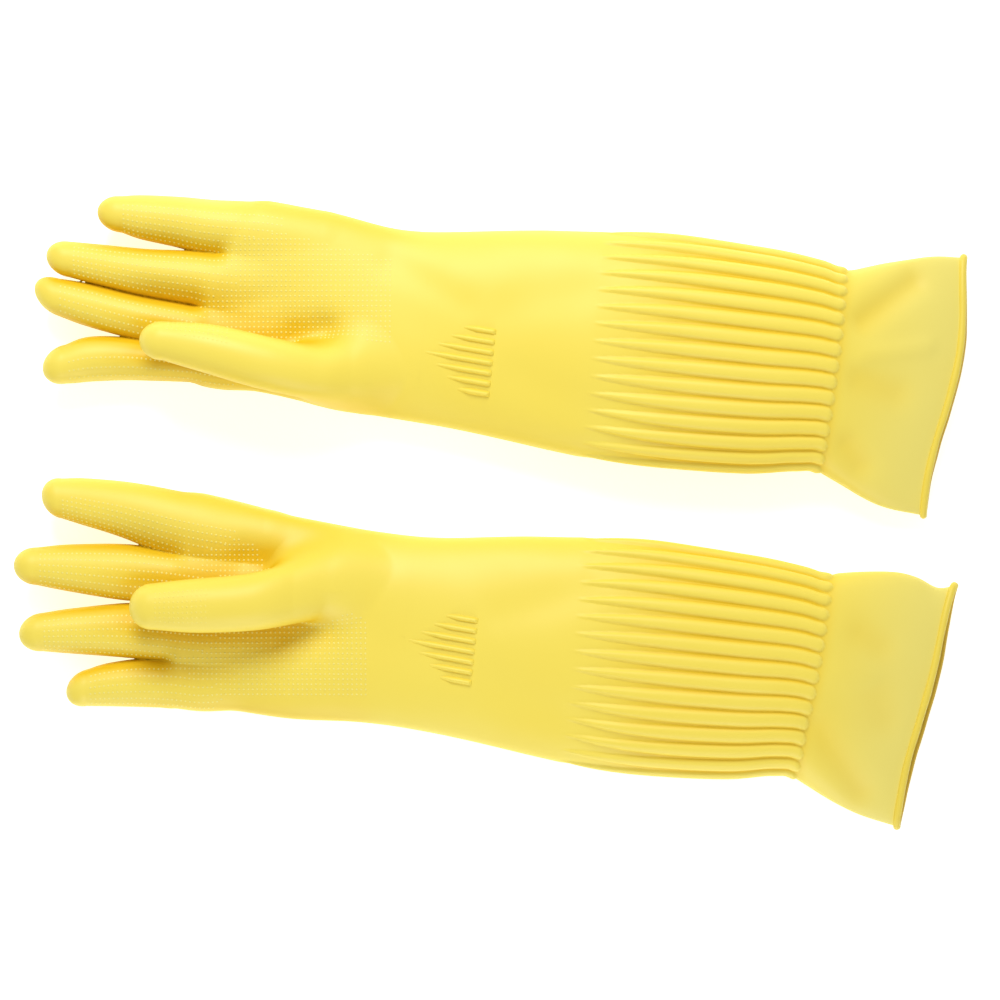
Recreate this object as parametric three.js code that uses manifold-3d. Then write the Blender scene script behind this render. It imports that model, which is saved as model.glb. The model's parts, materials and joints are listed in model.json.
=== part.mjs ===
// A pair of extra-long household gloves in dipped natural rubber, lying palm up side by side.
// Each glove is one thin film. It is divided into zones where the film flexes: at the wrist, and at two
// creases of each finger and of the thumb. The sleeve, the flared cuff and the rolled bead stay together.
// Units are millimetres, +Z is up, the fingers point to -X and the cuffs to +X. The underside rests on z = 0.

import * as THREE from "three";
import { mergeVertices } from "three/addons/utils/BufferGeometryUtils.js";
import Module from "manifold-3d";

const wasm = await Module();
wasm.setup();

// Driving dimensions
const FILM = 0.6; // thickness of the rubber
const FLEX_GAP = 0.6; // between two zones that a hinge joins
const SEAM_GAP = 0.3; // between two zones that stay together
const SETTLE = 1.2; // how far the underside has flattened against the table
const BEAD_RADIUS = 1.9; // rolled rim round the mouth
const SLEEVE_TURN = THREE.MathUtils.degToRad(6); // the sleeves point this far below +X
const TURN_STARTS = 150; // from here to the mouth the cuff turns further
const MOUTH_X = 255.7;
const CUT_PAST = 1.5; // a cavity runs this far past an open end, so that it cuts the end through

const ARM_SIDES = 28;
const DIGIT_SIDES = 10;
const BEAD_SIDES = 6;
const STEPS = 2; // rings between one station and the next
const DOME_STEPS = 4;

// Where the arm's film is divided, as indices into ARM stations
const WRIST = 4;
const NECK = 10;

// Each glove is drawn about its own wrist.
//   place: the wrist in the pair's frame.
//   arm: x, y, half width and half height of the palm, sleeve and cuff, from the finger roots to the mouth.
//   digits: x, y, z, half width and half height at the root, base, first crease, second crease and crown, then
//   the x, y, z of the tip.
const GLOVES = {
  right: {
    place: [-48.3, -55.2],
    mouthTurn: THREE.MathUtils.degToRad(14.4),
    arm: [
      [-106, 15.8, 38, 6.5],
      [-94, 14.6, 48.6, 11.5],
      [-75, 11.3, 49.5, 14],
      [-45, 6.3, 47.8, 14.8],
      [-10, 1.2, 45, 16],
      [25, -2.9, 46.5, 18],
      [75, -8.3, 52.8, 21],
      [120, -13, 56.6, 22.5],
      [165, -17.4, 54.4, 22],
      [190, -19.6, 51.2, 20.8],
      [203, -22.8, 50.4, 19.3],
      [232, -32, 57, 13.5],
      [MOUTH_X, -37.2, 59.8, 9],
    ],
    digits: {
      thumb: {
        path: [
          [-22, 25, 16, 14.5, 11],
          [-43, 18.5, 29, 14.6, 13],
          [-64, 14.6, 42, 13.7, 13.2],
          [-92, 12.2, 42.8, 13.2, 12.4],
          [-113, 11.2, 42.8, 11, 10.6],
        ],
        tip: [-124, 11, 42.5],
      },
      index: {
        path: [
          [-85, 46, 14, 14, 12.6],
          [-106, 53, 14, 13.3, 12.4],
          [-127, 57.2, 14.2, 12.5, 12],
          [-147, 60.9, 15, 10.9, 10.6],
          [-157, 62.4, 16, 9.3, 9.2],
        ],
        tip: [-166, 63.6, 17],
      },
      middle: {
        path: [
          [-85, 22.5, 14.5, 13, 12.6],
          [-106, 25.2, 14.3, 12.9, 12.4],
          [-127, 27.1, 14.3, 12.9, 12.3],
          [-152, 28.6, 15.5, 11.4, 10.9],
          [-169, 29.6, 17, 9, 8.9],
        ],
        tip: [-179.6, 30, 18],
      },
      ring: {
        path: [
          [-85, -4, 14.5, 13, 12.6],
          [-106, -2.2, 14.3, 12.9, 12.4],
          [-126, -1, 14.3, 12.8, 12.3],
          [-150, -1.5, 15.5, 11.1, 10.7],
          [-166, -2.1, 17, 9, 8.8],
        ],
        tip: [-176.7, -2.9, 18],
      },
      little: {
        path: [
          [-85, -28.5, 13, 10.8, 11.6],
          [-104, -27.3, 13, 10.9, 11.6],
          [-119, -26.8, 13.3, 10.9, 11.2],
          [-135, -27.2, 14, 10.4, 10.2],
          [-145, -28.6, 15, 8.8, 8.8],
        ],
        tip: [-154.8, -30.5, 16],
      },
    },
  },
  left: {
    place: [-38.8, 90.9],
    mouthTurn: THREE.MathUtils.degToRad(8.7),
    arm: [
      [-102, 15.4, 32, 6.5],
      [-90, 14.4, 43, 11.5],
      [-75, 12.6, 44.8, 14],
      [-45, 8.2, 45.8, 14.8],
      [-10, 1.6, 45.5, 16],
      [25, -3.2, 47, 18],
      [75, -9, 53, 21],
      [120, -13.2, 56.3, 22.5],
      [165, -17.8, 54.6, 22],
      [190, -20, 51.6, 20.8],
      [203, -22.4, 50.6, 19.3],
      [232, -28.8, 58.3, 13.5],
      [MOUTH_X, -30.2, 61.3, 9],
    ],
    digits: {
      thumb: {
        path: [
          [-20, -22, 15, 13.5, 11],
          [-42, -25, 27, 13.4, 12.6],
          [-66, -21, 37.5, 12.4, 12.2],
          [-93, -14, 39, 11.6, 11.4],
          [-117, -9.8, 38.5, 8.8, 9],
        ],
        tip: [-128.3, -9.7, 38],
      },
      index: {
        path: [
          [-85, -21, 13, 7.4, 12.4],
          [-106, -21.8, 13, 6.9, 12.4],
          [-131, -18.3, 13.5, 8.3, 12],
          [-152, -17.5, 14.8, 10.9, 10.9],
          [-164.6, -20, 16.5, 9.2, 9.2],
        ],
        tip: [-175.3, -21.9, 17.5],
      },
      middle: {
        path: [
          [-85, -8.6, 14, 10.8, 12.6],
          [-106, -2.8, 14, 10.8, 12.2],
          [-131, 2.2, 14, 10.6, 11.5],
          [-154, 8.2, 15.2, 10, 10.2],
          [-168, 12.4, 16.5, 8.6, 8.7],
        ],
        tip: [-178.9, 16, 17.5],
      },
      ring: {
        path: [
          [-85, 18.5, 14.5, 12, 12.6],
          [-106, 21.6, 14.5, 11.8, 12.3],
          [-126, 24.8, 14.7, 11.4, 11.6],
          [-147, 28.4, 16, 10.2, 10.2],
          [-163, 31, 17, 8.7, 8.7],
        ],
        tip: [-173.5, 32.5, 18],
      },
      little: {
        path: [
          [-78, 43.2, 14, 12.6, 12.4],
          [-95, 46.2, 14, 12.4, 12.2],
          [-112, 48.8, 14, 11.7, 11.4],
          [-128, 50.8, 15, 10.2, 10.1],
          [-138, 51.7, 15.8, 8.8, 8.8],
        ],
        tip: [-149.2, 52.6, 16.5],
      },
    },
  },
};

const CREASE_1 = 2;
const CREASE_2 = 3;
const CROWN = 4;

const rubber = new THREE.MeshStandardMaterial({ color: 0xf6da4e, roughness: 0.5, metalness: 0 });
const bead = new THREE.MeshStandardMaterial({ color: 0xe2c23c, roughness: 0.5, metalness: 0 });
const UP = new THREE.Vector3(0, 0, 1);

// A smooth path through stations that holds position and size together: at(i) is exactly station i.
function smoothPath(stations, coordinates) {
  const curve = (of) =>
    new THREE.CatmullRomCurve3(stations.map(of).map((p) => new THREE.Vector3(...p)), false, "catmullrom", 0.5);
  const centres = curve((s) => [s[0], s[1], coordinates === 3 ? s[2] : 0]);
  const sizes = curve((s) => [s[coordinates], s[coordinates + 1], 0]);
  const last = stations.length - 1;
  return (i) => {
    const t = THREE.MathUtils.clamp(i / last, 0, 1);
    const size = sizes.getPoint(t);
    return {
      centre: centres.getPoint(t),
      along: centres.getTangent(t),
      width: size.x,
      height: size.y,
    };
  };
}

// One ring of points: an ellipse about centre in the plane of side and rise, no lower than floor.
function ellipseRing(centre, side, rise, width, height, sides, floor = -Infinity) {
  const ring = [];
  for (let i = 0; i < sides; i++) {
    const angle = (2 * Math.PI * i) / sides;
    const p = centre
      .clone()
      .addScaledVector(side, width * Math.cos(angle))
      .addScaledVector(rise, height * Math.sin(angle));
    p.z = Math.max(p.z, floor);
    ring.push(p);
  }
  return ring;
}

// The palm, sleeve and cuff. inset is 0 for the outside and FILM for the inside of the film.
function armRings(glove, from, to, inset, past = [0, 0]) {
  const at = smoothPath(glove.arm, 2);
  const rings = [];
  const count = Math.round((to - from) * STEPS);
  for (let k = 0; k <= count; k++) {
    const s = at(from + ((to - from) * k) / count);
    const flare = THREE.MathUtils.smoothstep(s.centre.x, TURN_STARTS, MOUTH_X);
    const turn = THREE.MathUtils.lerp(SLEEVE_TURN, glove.mouthTurn, flare);
    const along = new THREE.Vector3(Math.cos(turn), -Math.sin(turn), 0);
    const side = new THREE.Vector3(Math.sin(turn), Math.cos(turn), 0);
    const lift = (BEAD_RADIUS - FILM / 2) * flare ** 4; // the bead under the mouth holds the film up
    const centre = s.centre.setZ(s.height - SETTLE + lift);
    if (k === 0) centre.addScaledVector(along, -past[0]);
    if (k === count) centre.addScaledVector(along, past[1]);
    rings.push(
      ellipseRing(centre, side, UP, s.width - inset, s.height - inset, ARM_SIDES, lift + inset),
    );
  }
  return rings;
}

// The frame of a digit at a station: along points to the tip, side is the hinge axis that lifts the tip.
function digitFrame(at, i) {
  const s = at(i);
  const side = s.along.clone().cross(UP).normalize();
  return { ...s, side, rise: side.clone().cross(s.along) };
}

// A length of digit from one station to another. past moves the first and last ring out along the digit.
function digitRings(digit, from, to, inset, past = [0, 0]) {
  const at = smoothPath(digit.path, 3);
  const rings = [];
  const count = Math.round((to - from) * STEPS);
  for (let k = 0; k <= count; k++) {
    const f = digitFrame(at, from + ((to - from) * k) / count);
    if (k === 0) f.centre.addScaledVector(f.along, -past[0]);
    if (k === count) f.centre.addScaledVector(f.along, past[1]);
    rings.push(ellipseRing(f.centre, f.side, f.rise, f.width - inset, f.height - inset, DIGIT_SIDES));
  }
  return rings;
}

// The rings of a rounded fingertip past the crown, and the point that closes it.
function tipRings(digit, inset) {
  const f = digitFrame(smoothPath(digit.path, 3), CROWN);
  const end = new THREE.Vector3(...digit.tip).sub(f.centre);
  end.setLength(end.length() - inset);
  const rings = [];
  for (let k = 1; k < DOME_STEPS; k++) {
    const angle = (k / DOME_STEPS) * (Math.PI / 2);
    const centre = f.centre.clone().addScaledVector(end, Math.sin(angle));
    const shrink = Math.cos(angle);
    rings.push(
      ellipseRing(
        centre,
        f.side,
        f.rise,
        (f.width - inset) * shrink,
        (f.height - inset) * shrink,
        DIGIT_SIDES,
      ),
    );
  }
  return { rings, apex: f.centre.clone().add(end) };
}

// Triangles between rings of equal count. A closed loop of rings joins its last ring to its first.
function skin(rings, loop) {
  const sides = rings[0].length;
  const triangles = [];
  const spans = loop ? rings.length : rings.length - 1;
  for (let r = 0; r < spans; r++) {
    const a = rings[r];
    const b = rings[(r + 1) % rings.length];
    for (let i = 0; i < sides; i++) {
      const j = (i + 1) % sides;
      triangles.push([a[i], a[j], b[j]], [a[i], b[j], b[i]]);
    }
  }
  return triangles;
}

function cap(ring, apex, flip) {
  return ring.map((p, i) => {
    const q = ring[(i + 1) % ring.length];
    return flip ? [q, p, apex] : [p, q, apex];
  });
}

const middleOf = (ring) => ring.reduce((sum, p) => sum.add(p), new THREE.Vector3()).divideScalar(ring.length);

function geometryOf(triangles) {
  const geometry = new THREE.BufferGeometry().setFromPoints(triangles.flat());
  const merged = mergeVertices(geometry, 1e-3);
  const solid = toManifold(merged);
  return solid.volume() < 0 ? geometryOf(triangles.map(([a, b, c]) => [a, c, b])) : merged;
}

function toManifold(geometry) {
  return new wasm.Manifold(
    new wasm.Mesh({
      numProp: 3,
      vertProperties: geometry.attributes.position.array,
      triVerts: new Uint32Array(geometry.index.array),
    }),
  );
}

function fromManifold(solid) {
  const mesh = solid.getMesh();
  const geometry = new THREE.BufferGeometry();
  geometry.setAttribute("position", new THREE.BufferAttribute(mesh.vertProperties, 3));
  geometry.setIndex(new THREE.BufferAttribute(mesh.triVerts, 1));
  return geometry;
}

// A block with flat ends, used only to join and cut.
const block = (rings) =>
  toManifold(
    geometryOf([
      ...skin(rings, false),
      ...cap(rings[0], middleOf(rings[0]), true),
      ...cap(rings.at(-1), middleOf(rings.at(-1)), false),
    ]),
  );

// A length of film open at both ends.
const openTube = (outside, inside) => geometryOf(skin([...outside, ...inside.reverse()], true));

// A length of film closed by a rounded tip.
function fingertip(digit, from, past) {
  const layer = (inset) => {
    const end = tipRings(digit, inset);
    return { rings: [...digitRings(digit, from, CROWN, inset, past), ...end.rings], apex: end.apex };
  };
  const outside = layer(0);
  const inside = layer(FILM);
  return geometryOf([
    ...skin([...inside.rings.toReversed(), ...outside.rings], false),
    ...cap(outside.rings.at(-1), outside.apex, false),
    ...cap(inside.rings.at(-1), inside.apex, true),
  ]);
}

// The palm and the back of the hand, with a socket of film where each digit starts.
function handFilm(glove) {
  const solid = (inset, wristPast, rootPast) => {
    const palm = block(armRings(glove, 0, WRIST, inset, [-inset, wristPast]));
    return Object.values(glove.digits).reduce(
      (whole, digit) => whole.add(block(digitRings(digit, 0, CREASE_1, inset, [-inset, rootPast]))),
      palm,
    );
  };
  const end = -FLEX_GAP / 2;
  return fromManifold(solid(0, end, end).subtract(solid(FILM, CUT_PAST, CUT_PAST)));
}

// The rolled rim: a round bead that follows the mouth.
function mouthBead(glove) {
  const last = glove.arm.length - 1;
  const mouth = armRings(glove, last - 1, last, FILM / 2).at(-1);
  const centre = middleOf(mouth);
  const along = new THREE.Vector3(Math.cos(glove.mouthTurn), -Math.sin(glove.mouthTurn), 0);
  const rings = mouth.map((p, i) => {
    const run = mouth[(i + 1) % mouth.length].clone().sub(mouth.at(i - 1)).normalize();
    const out = run.clone().cross(along).normalize();
    if (out.dot(p.clone().sub(centre)) < 0) out.negate();
    return ellipseRing(p, out, along, BEAD_RADIUS, BEAD_RADIUS, BEAD_SIDES);
  });
  return geometryOf(skin(rings, true));
}

function zone(name, geometry, material = rubber) {
  const mesh = new THREE.Mesh(geometry, material);
  mesh.name = name;
  return mesh;
}

// A group at a hinge, with its own Y along the hinge axis. Turning it about Y lifts what it carries.
function hinge(name, point, axis) {
  const group = new THREE.Group();
  group.name = name;
  group.position.copy(point);
  group.quaternion.setFromUnitVectors(new THREE.Vector3(0, 1, 0), axis);
  return group;
}

// The hinge of a digit's crease lies on the palm side of the film, so that bending opens the back of it.
function creaseHinge(name, digit, crease) {
  const f = digitFrame(smoothPath(digit.path, 3), crease);
  return hinge(name, f.centre.clone().addScaledVector(f.rise, f.height), f.side);
}

function wristHinge(side, glove) {
  const [x, y, , height] = glove.arm[WRIST];
  const axis = new THREE.Vector3(Math.sin(SLEEVE_TURN), Math.cos(SLEEVE_TURN), 0);
  return hinge(`${side}_wrist_bend`, new THREE.Vector3(x, y, 2 * height - SETTLE), axis);
}

function makeGlove(side, glove) {
  const group = new THREE.Group();
  const last = glove.arm.length - 1;
  const tube = (from, to, past) =>
    openTube(armRings(glove, from, to, 0, past), armRings(glove, from, to, FILM, past));

  group.add(
    zone(`${side}_sleeve`, tube(WRIST, NECK, [-FLEX_GAP / 2, -SEAM_GAP / 2])),
    zone(`${side}_cuff`, tube(NECK, last, [-SEAM_GAP / 2, -BEAD_RADIUS - SEAM_GAP])),
    zone(`${side}_rim_bead`, mouthBead(glove), bead),
  );

  const wrist = wristHinge(side, glove);
  group.add(wrist);
  wrist.attach(zone(`${side}_hand`, handFilm(glove)));

  for (const [name, digit] of Object.entries(glove.digits)) {
    const piece = name === "thumb" ? `${side}_thumb` : `${side}_${name}_finger`;
    const first = creaseHinge(`${piece}_bend`, digit, CREASE_1);
    const second = creaseHinge(`${piece}_tip_bend`, digit, CREASE_2);
    const past = [-FLEX_GAP / 2, -FLEX_GAP / 2];
    const middle = openTube(
      digitRings(digit, CREASE_1, CREASE_2, 0, past),
      digitRings(digit, CREASE_1, CREASE_2, FILM, past),
    );
    const end = fingertip(digit, CREASE_2, [-FLEX_GAP / 2, 0]);
    wrist.attach(first);
    first.attach(zone(piece, middle));
    first.attach(second);
    second.attach(zone(`${piece}_tip`, end));
  }

  group.position.set(glove.place[0], glove.place[1], 0);
  return group;
}

const pair = new THREE.Group();
for (const [side, glove] of Object.entries(GLOVES)) pair.add(makeGlove(side, glove));

export default pair;
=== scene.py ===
# A pair of extra-long household gloves in dipped natural rubber, lying palm up on a pale table.
# The CAD model holds the sizes, the creases and the joints. This script makes the film itself: one smooth
# skin for each hand, with a raised grip pattern, and one for each ribbed sleeve with its flared cuff and rim.

import json
import math

import bmesh
import bpy
import numpy as np
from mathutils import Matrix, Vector


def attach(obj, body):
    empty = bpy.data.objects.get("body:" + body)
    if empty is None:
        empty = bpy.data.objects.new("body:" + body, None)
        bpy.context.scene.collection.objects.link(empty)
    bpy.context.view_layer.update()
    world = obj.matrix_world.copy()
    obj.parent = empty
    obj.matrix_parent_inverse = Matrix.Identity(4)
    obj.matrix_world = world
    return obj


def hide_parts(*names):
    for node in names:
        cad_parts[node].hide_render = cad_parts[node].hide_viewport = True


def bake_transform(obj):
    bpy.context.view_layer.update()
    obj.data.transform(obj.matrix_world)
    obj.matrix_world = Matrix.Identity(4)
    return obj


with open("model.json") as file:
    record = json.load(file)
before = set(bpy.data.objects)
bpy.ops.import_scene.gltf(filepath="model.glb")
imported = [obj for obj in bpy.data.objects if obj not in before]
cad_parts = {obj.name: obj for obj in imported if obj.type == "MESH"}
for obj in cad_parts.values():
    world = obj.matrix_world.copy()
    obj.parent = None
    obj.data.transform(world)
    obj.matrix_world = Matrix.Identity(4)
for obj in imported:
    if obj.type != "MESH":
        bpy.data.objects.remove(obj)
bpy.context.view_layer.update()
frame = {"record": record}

MM = 0.001

# Film
FILM = 0.6 * MM
SETTLE = 1.2 * MM  # how far the underside would sink if the table didn't flatten it
FLATTEN = 2 * MM  # softness of the bend where the film meets the table
SLEEVE_TURN = math.radians(6)  # how far the arm runs off +x, towards -y
ARM_WAY = np.array([math.cos(SLEEVE_TURN), -math.sin(SLEEVE_TURN), 0])
TURN_STARTS = 150 * MM  # past here the arm's sections turn further, until mouth_turn
MOUTH_STARTS = 215 * MM  # past here the cuff is drawn out or back to the line of the mouth

# Fineness
NET_STEP = np.array([1.15, 0.6, 1.15]) * MM  # finest across the narrow gaps
RIB_COLUMNS = 14
SLEEVE_STEP = 2.4 * MM
RIB_END_STEP = 0.8 * MM
CUFF_STEP = 1.6 * MM
BEAD_SIDES = 14
DOT_SIDES = 6
PROBE = 0.05 * MM  # how far to each side a field is sampled for its slope

# How the digits join the palm
WEB_BLEND = 6 * MM
THUMB_BLEND = 14 * MM
THUMB_MERGE = 32 * MM  # the thumb's blend grows to its full size over this length
CREASE_BLEND = 0.3 * MM
PALM_FULLNESS = 3.0  # 2 is an ellipse; more fills the edges of the palm out to the thickness of the fingers
PALM_END = 8 * MM  # length of the rounded end of the palm, between the finger roots
NET_REACH = 48 * MM  # the hand's net reaches at least this far to each side
NET_TOP = 60 * MM  # higher than the thumb

# From a digit's root to where it has sunk into the palm: x, y, z, half width, half height
TAIL = np.array([26, 0, -2.5, -4, -1.5]) * MM
THUMB_TAIL = np.array([30, 0, -4.7, -2, -1]) * MM
FANNED = 0.12  # a finger's sunk end leans this part of the way towards the middle of the palm

# Where one piece of film ends and the next starts, along the arm
SEAM = 8 * MM
LIP = 1.5 * MM
WRIST_CUT = -28 * MM
NECK_CUT = 207 * MM

# A crease bends over a length on each side, but not over more than a share of the way to the next crease
BEND_HALF = 9 * MM
BEND_SHARE = 0.42
MARGIN = 1 * MM  # what a bending piece holds past its bend

# Grip pattern
DOT_PITCH = 2.15 * MM
DOT_ROW = 2.45 * MM
DOT_RADIUS = 0.6 * MM
DOT_HEIGHT = 0.28 * MM
DOT_SPREAD = math.radians(54)  # how far round a finger the rows reach, to each side of the pattern's middle
THUMB_DOT_SPREAD = math.radians(40)
DOT_START = 18 * MM  # a finger's rows are laid out from this far behind its sunk end
THUMB_DOT_START = -84 * MM
FAINT = 0.35  # the thumb's dots are this much as high as the others

# Fan of ridges at the wrist
FAN_RIDGES = 7
FAN_PITCH = 4.9 * MM
FAN_LENGTH = 33 * MM
FAN_STEP = 5.7 * MM  # each ridge is this much shorter than the one nearer the middle
FAN_END = 42 * MM
FAN_LEAN = 0.065  # the ridges lean this far off the line of the arm, as a slope
FAN_HEIGHT = 1.5 * MM
FAN_POINT = 0.65 * MM  # half width at the pointed end
FAN_WIDEN = 0.75 * MM  # how much more it is at the blunt end
FAN_TAPER = 2.6  # how quickly a ridge gets its full height and width

# Ribs of the sleeve
RIBS = 30
RIB_START = 87 * MM
RIB_END = 204.4 * MM
RIB_HEIGHT = 1.75 * MM
RIB_RISE_RUN = 11 * MM  # the length in which a rib gets about two thirds of its height
RIB_WIDEN_RUN = 28 * MM  # and of its width
RIB_POINT = 0.05  # half width at the pointed end, as a share of the pitch
RIB_WIDEN = 0.41  # how much more it is at the blunt end
VALLEY = 0.55  # depth of the valleys, as a share of the height of the ribs

# Rim
BEAD_RADIUS = 1.9 * MM
BEAD_FOLD = math.radians(205)  # the edge of the roll: round the bead, from its front over its outer side

# Painted shade: a deeper colour in folds, where film close by would shade the surface
FOLD_REACHES = (5, 12, 25, 45)  # in millimetres: how far off other film is looked for
FOLD_FULL = 1.9  # the sum over those reaches at which the tone is deepest
FOLD_FADE = -20 * MM  # along the arm: the tone fades from here to the seam, where there is none
# Painted shade in the cuff's dents:
DENT_SHADE = 0.14  # for each millimetre, up to three, that the cuff's film has sunk

DIGITS = ("thumb", "index_finger", "middle_finger", "ring_finger", "little_finger")


def mm(rows):
    return np.array(rows, float) * MM


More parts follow.
